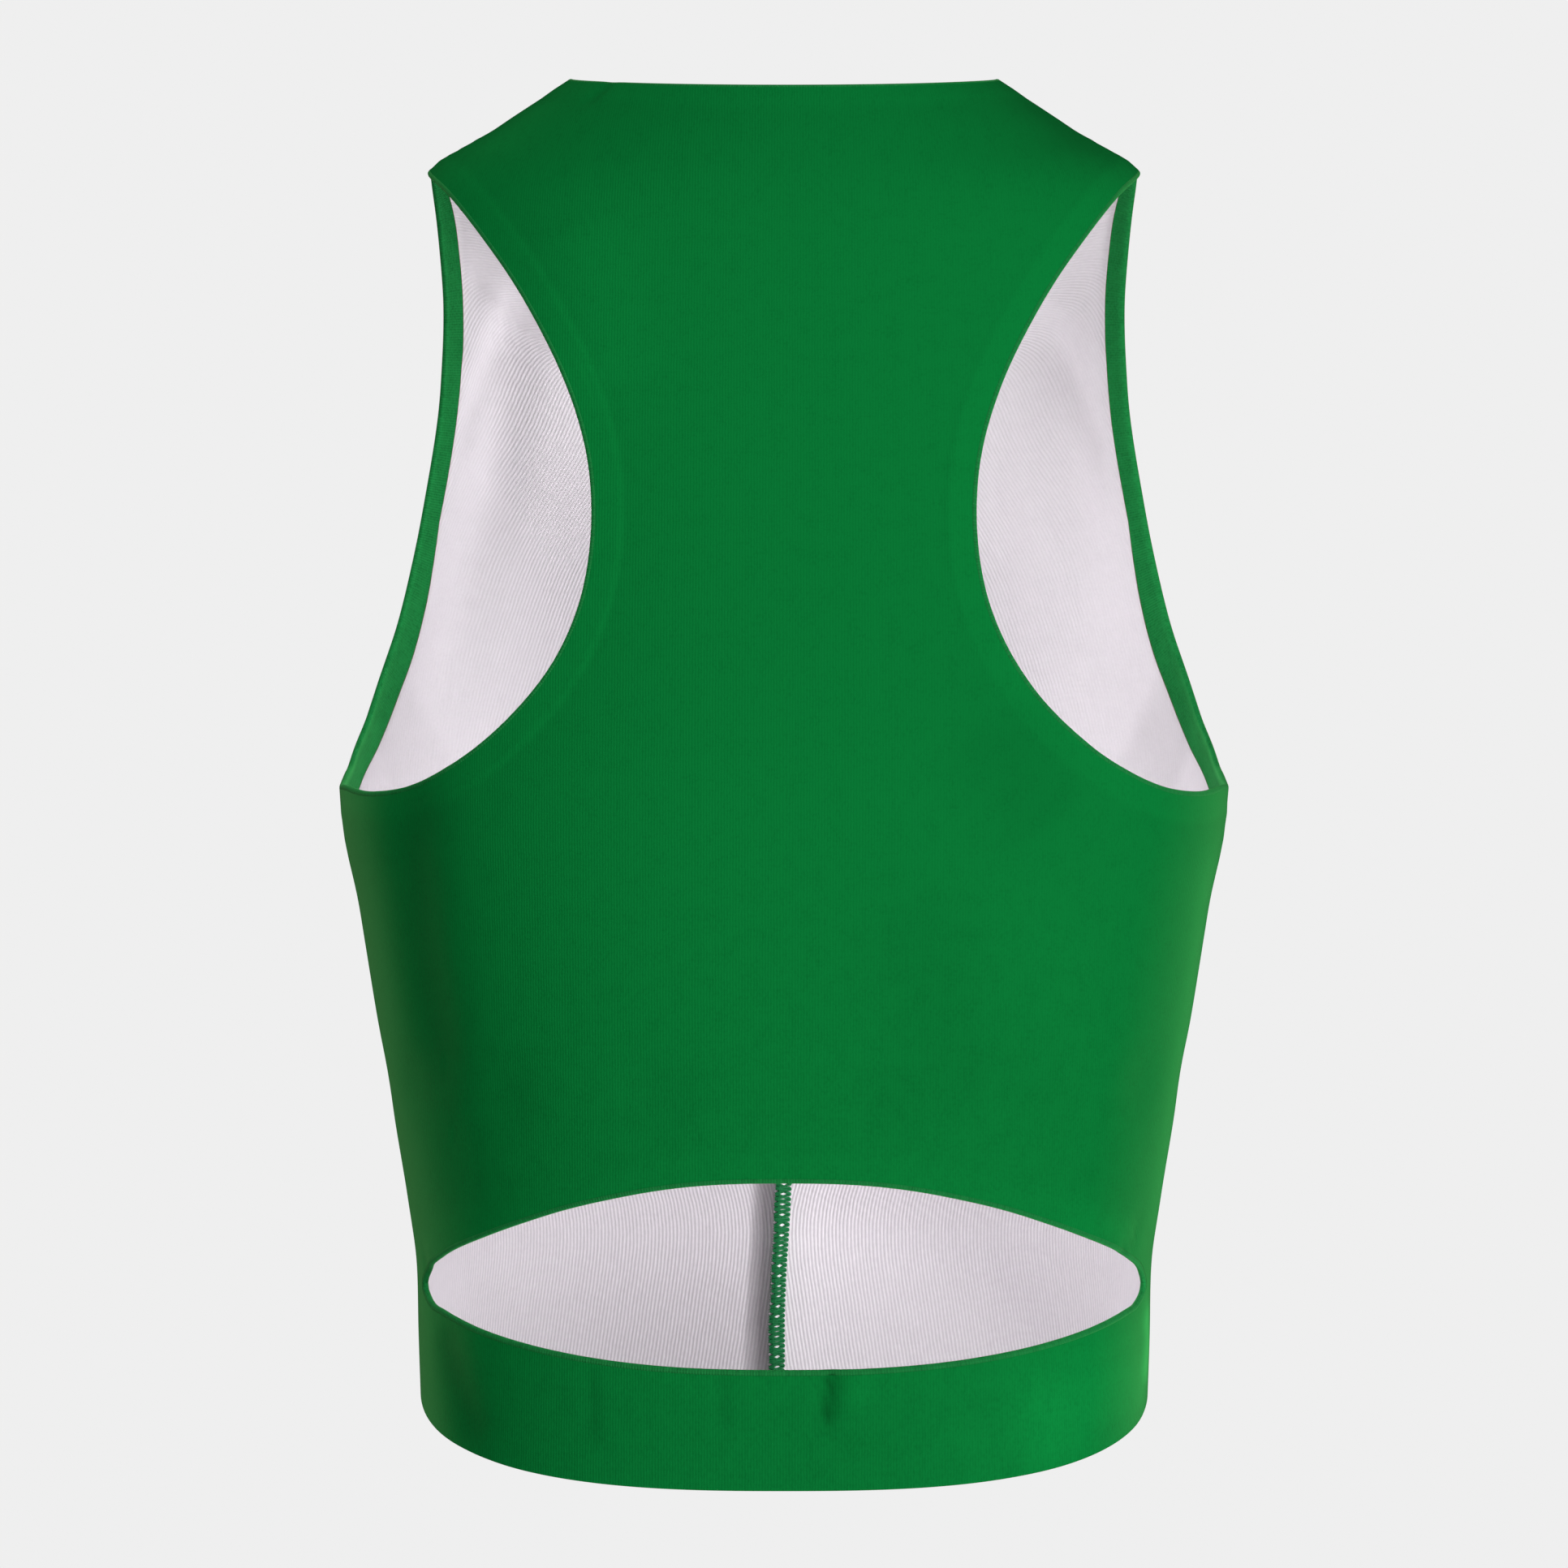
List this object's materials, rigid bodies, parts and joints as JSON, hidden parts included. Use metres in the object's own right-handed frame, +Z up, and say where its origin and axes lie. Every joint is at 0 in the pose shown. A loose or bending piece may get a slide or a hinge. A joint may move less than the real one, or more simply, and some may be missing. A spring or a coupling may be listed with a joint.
{
  "type": "tank top",
  "caption": "Cropped sleeveless knit top with a racer back, an oval cut-out above its back band, and a front seamed down its middle, in its worn shape.",
  "frame": {"origin": "midway between the two points where the shoulder seams reach the neckline, which is where the top hangs from its wearer", "axes": "+Z up the worn top, -Y the way the wearer faces, +X the wearer's left"},
  "size_m": [0.3074, 0.2222, 0.484],
  "materials": {
    "knit": "matt smooth stretch knit, green outside and off-white inside",
    "turned_hem": "matt stretch knit, green, turned to the inside",
    "overlock_thread": "matt green thread over the knit's cut edges"
  },
  "bodies": {
    "root": {"back": "knit", "front_left": "knit", "front_right": "knit", "armhole_hem_left": "turned_hem", "armhole_hem_right": "turned_hem", "neck_hem": "turned_hem", "cut_out_hem": "turned_hem", "front_seam": "overlock_thread"}
  },
  "joints": []
}
